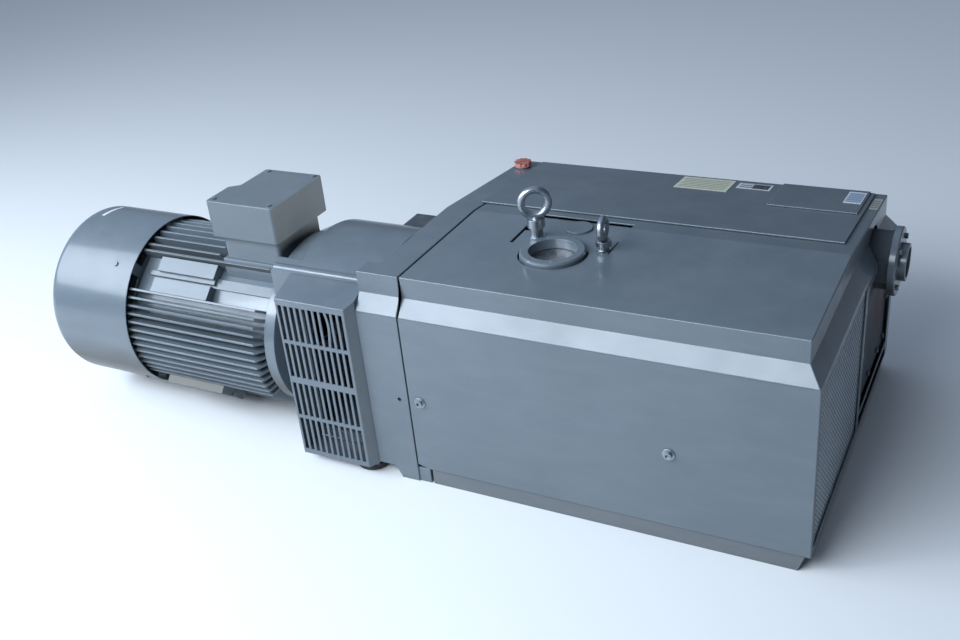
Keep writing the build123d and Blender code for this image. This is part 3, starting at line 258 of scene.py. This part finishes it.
def filter_medium():
    """Pleated glass fibre stained by oil mist."""
    f = Finish("glass_fibre_medium")
    fibres = f.noise(1.0, 4.0, 0.7, f.stretched((900.0, 300.0, 300.0)))
    colour = f.mix(f.span(fibres, 0.35, 0.68), (0.62, 0.55, 0.36), (0.84, 0.80, 0.66))
    roughness = f.span(f.noise(30.0, 4.0), 0.3, 0.7, 0.75, 0.95)
    f.bumps((fibres, 0.5, 0.0008))
    return f.set(Base_Color=colour, Roughness=roughness)


def gauge_glass():
    """Clear glass with a faint oil film."""
    f = Finish("gauge_glass")
    film = f.span(f.noise(60.0, 4.0), 0.4, 0.7)
    colour = f.mix(film, (0.86, 0.83, 0.62), (0.95, 0.94, 0.86))
    roughness = f.span(f.noise(120.0, 3.0), 0.3, 0.7, 0.04, 0.16)
    return f.set(Base_Color=colour, Roughness=roughness, IOR=1.5, Transmission_Weight=0.75)


PAINT = (0.120, 0.151, 0.175)
PAINT_DARK = (0.100, 0.127, 0.149)
PAINT_DUST = (0.200, 0.222, 0.238)
RUST = (0.120, 0.036, 0.028)
# Colour of the painted shade on the enamel's downward faces.
UNDERSIDE_SHADE = (0.052, 0.052, 0.048)

MATERIALS = {
    "blue_grey_paint": enamel("blue_grey_enamel", PAINT, PAINT_DARK, PAINT_DUST, 0.30, 0.10),
    "motor_paint": enamel("blue_grey_enamel_cast", PAINT, PAINT_DARK, PAINT_DUST, 0.30, 0.22),
    # Painted light: the mesh's enamel is a much lighter copy of the blue-grey paint, standing in for light on the
    # expanded metal.
    "mesh_steel": enamel("blue_grey_enamel_mesh_lightened", (0.44, 0.51, 0.57), (0.34, 0.40, 0.45), (0.48, 0.51, 0.54), 0.36,
                         0.15),
    "zinc_steel": worn_metal("zinc_plate", (0.56, 0.60, 0.63), (0.33, 0.37, 0.41), 0.34),
    "machined_steel": turned_metal("machined_steel", (0.60, 0.60, 0.60), (0.40, 0.40, 0.41), 0.30),
    "cast_iron": casting("cast_iron", (0.26, 0.27, 0.28), (0.16, 0.17, 0.18), 0.52),
    "aluminium_cast": worn_metal("cast_aluminium", (0.66, 0.67, 0.69), (0.47, 0.48, 0.50), 0.42, 420.0, 0.4),
    "cooler_black": moulded("black_coated_fins", (0.050, 0.058, 0.070), (0.078, 0.088, 0.100), 0.45),
    "rubber_black": moulded("black_rubber", (0.018, 0.018, 0.018), (0.04, 0.038, 0.035), 0.68, 500.0, 0.3),
    "copper_windings": wound_copper(),
    "carbon_composite": moulded("carbon_composite", (0.03, 0.03, 0.03), (0.055, 0.055, 0.06), 0.48),
    "red_plastic": moulded("red_plastic", (0.62, 0.26, 0.22), (0.50, 0.11, 0.08), 0.45),
    "black_plastic": moulded("black_plastic", (0.022, 0.022, 0.024), (0.045, 0.045, 0.05), 0.42),
    "glass_clear": gauge_glass(),
    "brass_fittings": worn_metal("brass", (0.66, 0.46, 0.18), (0.42, 0.27, 0.10), 0.30),
    "filter_paper": filter_medium(),
    "label_film": moulded("label_film", (0.62, 0.60, 0.50), (0.50, 0.49, 0.42), 0.40),
}


def to_row(x, y, z):
    """A point of the pump's own frame, in millimetres, in the shared frame."""
    return Vector((x - CENTRE_X, y - CENTRE_Y, z)) * MM


def ruled_plate(name, corner, size, ground, ink, rows, column, filled=0.0):
    """A blank printed plate: rules between rows, one column rule and dirt. Corner and size lie in the roof."""
    f = Finish(name)
    split = f.node("ShaderNodeSeparateXYZ", {0: f.place})
    across = f.span(split.outputs["X"], corner[0], corner[0] + size[0])
    along = f.span(split.outputs["Y"], corner[1], corner[1] + size[1])
    row = f.node("ShaderNodeMath", {0: f.times(along, rows)}, operation="FRACT").outputs[0]
    rule = f.span(row, 0.55, 0.62)
    inside = f.times(f.span(f.from_middle(across), 0.44, 0.43), f.span(f.from_middle(along), 0.42, 0.40))
    block = f.span(across, column, column + 0.01, 0.0, filled)
    marks = f.node("ShaderNodeMath", {0: rule, 1: block}, operation="MAXIMUM").outputs[0]
    colour = f.mix(f.times(inside, marks), ground, ink)
    colour = f.mix(f.span(f.noise(150.0, 5.0, 0.7), 0.5, 0.75, 0.0, 0.5), colour, tuple(0.5 * c for c in ground))
    roughness = f.span(f.noise(90.0, 3.0), 0.3, 0.7, 0.34, 0.55)
    return f.set(Base_Color=colour, Roughness=roughness)


PRINTED = (
    ruled_plate("rating_print", to_row(310, 566, 0), Vector((106, 74)) * MM, (0.60, 0.60, 0.45), (0.30, 0.31, 0.27),
                7.0, 0.5),
    ruled_plate("notice_print", to_row(426, 599, 0), Vector((66, 34)) * MM, (0.62, 0.64, 0.64), (0.04, 0.045, 0.05),
                3.0, 0.45, 1.0),
    ruled_plate("panel_print", to_row(636, 564, 0), Vector((32, 70)) * MM, (0.68, 0.70, 0.72), (0.16, 0.27, 0.42),
                6.0, 0.1, 0.6),
    ruled_plate("roof_print", to_row(683, 562, 0), Vector((16, 64)) * MM, (0.38, 0.38, 0.34), (0.14, 0.15, 0.16),
                5.0, 0.3),
)
# Painted shade: the end cover's enamel is a darkened copy of the blue-grey paint, standing in for the shadow it
# lies in; the rust round one spot is a real stain.
SHADE_DARK_STAINED = enamel("shade_darkened_stained_enamel", (0.052, 0.064, 0.074), (0.040, 0.050, 0.060), (0.080, 0.088, 0.094), 0.60, 0.2,
                 (to_row(714, 575, 205), 95 * MM))
DUSTY = enamel("dusty_enamel", (0.135, 0.150, 0.160), (0.115, 0.132, 0.146), (0.240, 0.235, 0.222), 0.42, 0.2)
# Painted shade: the terminal box's enamel is a darker copy of the blue-grey paint, set against the brighter light
# on the box.
BOX_SHADE_DARKENED = enamel("terminal_box_shade_darkened_enamel", (0.086, 0.104, 0.118), (0.072, 0.088, 0.100), (0.120, 0.134, 0.144),
                    0.40, 0.10)
# Painted light: a matt beige on the low pads' upper faces, standing in for the floor's warm bounce light on them.
FOOT_FLOOR_LIGHT = enamel("foot_painted_floor_light", (0.215, 0.210, 0.190), (0.180, 0.176, 0.160), (0.250, 0.244, 0.224), 0.80, 0.2)
SCREW_FINISH = worn_metal("dull_screw", (0.46, 0.50, 0.54), (0.27, 0.30, 0.33), 0.40)
STICKER = moulded("sticker_white", (0.80, 0.81, 0.82), (0.70, 0.72, 0.74), 0.35)


# ---- Meshes ------------------------------------------------------------------------------------
def new_piece(name, mesh, body, slot, *replaced, finishes=()):
    piece = bpy.data.objects.new(name, mesh)
    bpy.context.scene.collection.objects.link(piece)
    for material in finishes or (MATERIALS[slot],):
        mesh.materials.append(material)
    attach(piece, body)
    if replaced:
        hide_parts(*replaced)
    return piece


def joined_facets(mesh):
    """The mesh with its doubled corners welded and the triangles of each flat face joined."""
    bm = bmesh.new()
    bm.from_mesh(mesh)
    bmesh.ops.remove_doubles(bm, verts=bm.verts, dist=WELD_DISTANCE)
    bmesh.ops.dissolve_limit(bm, angle_limit=FLAT_ANGLE, verts=bm.verts, edges=bm.edges)
    bmesh.ops.recalc_face_normals(bm, faces=bm.faces)
    return bm


def room_at(vertex):
    return min(edge.calc_length() for edge in vertex.link_edges)


def weigh_edges(bm, width):
    """Marks each sharp outer edge with the share of the width that its neighbours leave room for."""
    layer = bm.edges.layers.float.new("bevel_weight_edge")
    for edge in bm.edges:
        if len(edge.link_faces) != 2:
            continue
        if edge.calc_face_angle(0.0) < SHARP_ANGLE:
            edge.smooth = min(face.calc_area() for face in edge.link_faces) < LARGE_FACE
            continue
        if not edge.is_convex:
            edge.smooth = False
            continue
        room = ROOM_SHARE * min(room_at(edge.verts[0]), room_at(edge.verts[1]))
        edge[layer] = min(1.0, room / width)


def rounded(node, width, finishes=(), reshape=None):
    """A copy of a CAD node with its sharp edges rounded, which stands for the node."""
    mesh = bpy.data.meshes.new(node + "_rounded")
    bm = joined_facets(frame["nodes"][node].data)
    if reshape:
        reshape(bm)
    weigh_edges(bm, width)
    bm.to_mesh(mesh)
    bm.free()
    mesh.attributes.remove(mesh.attributes["custom_normal"])
    mesh.shade_smooth()
    piece = new_piece(node + "_rounded", mesh, NODE_BODY[node], NODE_SLOT[node], node, finishes=finishes)
    bevel = piece.modifiers.new("edge", "BEVEL")
    bevel.limit_method = "WEIGHT"
    bevel.width = width
    bevel.segments = EDGE_SEGMENTS
    bevel.use_clamp_overlap = False
    bevel.harden_normals = True
    bevel.miter_outer = "MITER_ARC"
    even = piece.modifiers.new("even_shading", "WEIGHTED_NORMAL")
    even.keep_sharp = True
    return piece


def mesh_of(name, vertices, faces):
    mesh = bpy.data.meshes.new(name)
    mesh.from_pydata(vertices, [], faces)
    mesh.shade_smooth()
    return mesh


def expanded_metal():
    """Diamond lattice with twisted strands, in its border strips, as one connected sheet."""
    low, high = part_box("air_inlet_mesh")
    face_x = high.x - LATTICE_DEPTH
    columns = 2 * round((high.y - low.y) / LATTICE_WIDE)
    rows = 2 * round((high.z - low.z) / LATTICE_HIGH)
    step_y, step_z = (high.y - low.y) / columns, (high.z - low.z) / rows
    vertices, faces, shared = [], [], {}

    def corner(a, b):
        if (a, b) not in shared:
            shared[(a, b)] = len(vertices)
            vertices.append((face_x, low.y + a * step_y, low.z + b * step_z))
        return shared[(a, b)]

    for a in range(1, columns):
        for b in range(2 - a % 2, rows, 2):
            outer = [corner(a + da, b + db) for da, db in DIAMOND]
            first = len(vertices)
            for da, db in DIAMOND:
                y = low.y + (a + STRAND_INSIDE * da) * step_y
                z = low.z + (b + STRAND_INSIDE * db) * step_z
                vertices.append((face_x - (da + db) * STRAND_TWIST, y, z))
            for i in range(4):
                j = (i + 1) % 4
                faces.append((outer[i], outer[j], first + j, first + i))
    for y0, y1, z0, z1 in ((low.y, low.y + BORDER, low.z, high.z), (high.y - BORDER, high.y, low.z, high.z),
                           (low.y, high.y, low.z, low.z + BORDER), (low.y, high.y, high.z - BORDER, high.z)):
        first = len(vertices)
        vertices += [(high.x - LATTICE_DEPTH / 4, y, z) for y, z in ((y0, z0), (y1, z0), (y1, z1), (y0, z1))]
        faces.append(tuple(range(first, first + 4)))
    mesh = mesh_of("expanded_metal", vertices, faces)
    mesh.shade_flat()
    piece = new_piece("expanded_metal", mesh, "frame", "mesh_steel", "air_inlet_mesh")
    thick = piece.modifiers.new("strands", "SOLIDIFY")
    thick.thickness = STRAND_THICK
    thick.offset = -1.0


def coil_spring():
    """Closing spring of the inlet valve, ground flat at its ends."""
    low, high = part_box("valve_spring")
    wire = SPRING_WIRE / 2
    radius = (high.x - low.x) / 2 - wire
    middle = (low + high) / 2
    steps = SPRING_TURNS * SPRING_STEPS
    vertices, faces = [], []
    for i in range(steps + 1):
        turn = 2 * math.pi * i / SPRING_STEPS
        rise = min(max((i / SPRING_STEPS - 0.75) / (SPRING_TURNS - 1.5), 0.0), 1.0)
        z = low.z + wire + rise * (high.z - low.z - 2 * wire)
        for k in range(SPRING_SIDES):
            side = 2 * math.pi * k / SPRING_SIDES
            r = radius + wire * math.cos(side)
            x, y = middle.x + r * math.cos(turn), middle.y + r * math.sin(turn)
            vertices.append((x, y, z + wire * math.sin(side)))
    for i in range(steps):
        for k in range(SPRING_SIDES):
            a, b = i * SPRING_SIDES + k, i * SPRING_SIDES + (k + 1) % SPRING_SIDES
            faces.append((a, a + SPRING_SIDES, b + SPRING_SIDES, b))
    faces.append(tuple(range(SPRING_SIDES)))
    faces.append(tuple(steps * SPRING_SIDES + k for k in reversed(range(SPRING_SIDES))))
    piece = new_piece("coil_spring", mesh_of("coil_spring", vertices, faces), "frame", NODE_SLOT["valve_spring"],
                      "valve_spring")
    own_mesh(piece)


def cowl_sticker():
    """Plain white strip over the top of the fan cowl."""
    vertices, faces = [], []
    for i in range(STICKER_STEPS + 1):
        angle = math.radians(STICKER_FROM + (STICKER_TO - STICKER_FROM) * i / STICKER_STEPS)
        for x in STICKER_X:
            y = SHAFT_Y - STICKER_R * math.cos(angle)
            vertices.append(to_row(x, y, SHAFT_Z + STICKER_R * math.sin(angle)))
    for i in range(STICKER_STEPS):
        faces.append((2 * i, 2 * i + 1, 2 * i + 3, 2 * i + 2))
    new_piece("cowl_sticker", mesh_of("cowl_sticker", vertices, faces), "frame", "label_film", finishes=(STICKER,))


def by_plate(bm):
    """Gives each plate on the lid its own print."""
    for face in bm.faces:
        x = face.calc_center_median().x
        face.material_index = sum(x > limit for limit in PLATE_LIMITS)


def floor_lit_feet(bm):
    """Gives the upper sides of the motor's low pads a matt beige that paints in the floor's bounce light."""
    for face in bm.faces:
        low = face.calc_center_median().z < FEET_UNDER
        face.material_index = int(low and face.normal.z > 0.5 and face.calc_area() > FEET_AREA)


def bent_slat(bm):
    """Pushes one slat in the grille's top row sideways, as a knock has left it."""
    low, high = to_row(*SLAT_LOW), to_row(*SLAT_HIGH)
    chosen = [e for e in bm.edges if all(low.x < v.co.x < high.x and low.y < v.co.y < high.y for v in e.verts)
              and e.calc_length() > 0.05 and min(v.co.z for v in e.verts) > low.z - MM]
    for edge in chosen:
        bmesh.ops.subdivide_edges(bm, edges=[edge], cuts=SLAT_CUTS)
    for vertex in bm.verts:
        if low.x < vertex.co.x < high.x and low.y < vertex.co.y < high.y and low.z < vertex.co.z < high.z:
            share = (vertex.co.z - low.z) / (high.z - low.z)
            vertex.co.x += SLAT_PUSH * math.sin(math.pi * share) * (0.4 + share)


def finish_nodes(names):
    """CAD nodes whose shape is right as it is get their procedural finish."""
    for name in names:
        mesh = frame["nodes"][name].data
        mesh.materials.clear()
        mesh.materials.append(MATERIALS[NODE_SLOT[name]])


# ---- Pieces with rounded edges --------------------------------------------------------------------
ROUNDED = {
    SHEET_EDGE: ["front_hood", "rear_lid", "lid_panel", "base_frame", "separator_end_cover", "end_plate"],
    CAST_EDGE: ["terminal_box_lid", "terminal_box_base", "lantern_housing", "front_grille", "intake_flange",
                "intake_block", "exhaust_flange", "fan_cowl", "motor_end_shields", "recess_plug",
                "oil_filler_cap", "support_feet"],
    FIN_EDGE: ["motor_frame"],
    SMALL_EDGE: ["hood_screws", "cover_screws", "exhaust_side_bolts", "lid_labels", "oil_cooler", "eye_bolt_large",
                 "eye_bolt_small", "gland_plugs", "cooling_fan", "motor_hub", "pump_hub",
                 "coupling_spider", "gas_ballast_valve"],
}
OWN_FINISH = {"hood_screws": (SCREW_FINISH,), "separator_end_cover": (SHADE_DARK_STAINED,), "lid_labels": PRINTED,
              "base_frame": (DUSTY,), "terminal_box_lid": (BOX_SHADE_DARKENED,), "terminal_box_base": (BOX_SHADE_DARKENED,),
              "motor_frame": (MATERIALS["motor_paint"], FOOT_FLOOR_LIGHT)}
RESHAPED = {"lid_labels": by_plate, "front_grille": bent_slat, "motor_frame": floor_lit_feet}


def area_light(name, place, size, watts, colour=(1.0, 1.0, 1.0)):
    lamp = bpy.data.lights.new(name, "AREA")
    lamp.shape = "RECTANGLE"
    lamp.size, lamp.size_y = size
    lamp.energy = watts
    lamp.color = colour
    light = bpy.data.objects.new(name, lamp)
    light.location = place
    light.rotation_euler = (Vector(place) - LIGHT_AIM).to_track_quat("Z", "Y").to_euler()
    bpy.context.scene.collection.objects.link(light)
    return light


def camera_and_lights():
    camera = bpy.data.objects.new("camera", bpy.data.cameras.new("camera"))
    camera.data.lens = CAMERA_LENS
    camera.data.sensor_width = 36.0
    away = (CAMERA_AT - CAMERA_AIM).normalized()
    turn = away.to_track_quat("Z", "Y").to_matrix() @ Matrix.Rotation(math.radians(CAMERA_ROLL), 3, "Z")
    camera.matrix_world = Matrix.Translation(CAMERA_AT) @ turn.to_4x4()
    bpy.context.scene.collection.objects.link(camera)
    bpy.context.scene.camera = camera
    for light in LIGHTS:
        area_light(*light)


def reflector_card(pieces):
    """Soft light from the right that falls on the terminal box alone."""
    card = area_light("card_right", CARD_AT, CARD_SIZE, CARD_WATTS)
    card.light_linking.receiver_collection = bpy.data.collections.new("lit_by_card")
    for piece in pieces:
        card.light_linking.receiver_collection.objects.link(piece)


def floor_and_world():
    mesh = bpy.data.meshes.new("floor")
    corners = [(FLOOR_REACH * a, FLOOR_REACH * b, 0) for a, b in ((-1, -1), (1, -1), (1, 1), (-1, 1))]
    mesh.from_pydata(corners, [], [(0, 1, 2, 3)])
    floor = bpy.data.objects.new("floor", mesh)
    bpy.context.scene.collection.objects.link(floor)
    f = Finish("floor_pale")
    f.set(Base_Color=(0.86, 0.86, 0.85, 1.0), Roughness=0.9)
    mesh.materials.append(f.material)
    world = bpy.data.worlds.new("studio")
    world.use_nodes = True
    nodes, links = world.node_tree.nodes, world.node_tree.links
    along = nodes.new("ShaderNodeVectorMath")
    along.operation = "DOT_PRODUCT"
    along.inputs[1].default_value = SKY_AWAY
    links.new(nodes.new("ShaderNodeTexCoord").outputs["Generated"], along.inputs[0])
    to_back = nodes.new("ShaderNodeMapRange")
    to_back.interpolation_type = "SMOOTHSTEP"
    to_back.inputs["From Min"].default_value, to_back.inputs["From Max"].default_value = SKY_TURNS
    links.new(along.outputs["Value"], to_back.inputs["Value"])
    sky = nodes.new("ShaderNodeMix")
    sky.data_type = "RGBA"
    sky.inputs[6].default_value = (*SKY_LEFT, 1.0)
    sky.inputs[7].default_value = (*SKY_RIGHT, 1.0)
    links.new(to_back.outputs["Result"], sky.inputs["Factor"])
    links.new(sky.outputs[2], nodes["Background"].inputs["Color"])
    nodes["Background"].inputs["Strength"].default_value = SKY_STRENGTH
    bpy.context.scene.world = world
    bpy.context.scene.view_settings.view_transform = "Standard"


camera_and_lights()
floor_and_world()
rounded_pieces = {}
for edge_width, names in ROUNDED.items():
    for name in names:
        rounded_pieces[name] = rounded(name, edge_width, OWN_FINISH.get(name, ()), RESHAPED.get(name))
reflector_card([rounded_pieces[name] for name in CARD_LIT])
expanded_metal()
coil_spring()
cowl_sticker()
finish_nodes(sorted(set(NODE_BODY) - set(rounded_pieces) - {"air_inlet_mesh", "valve_spring"}))
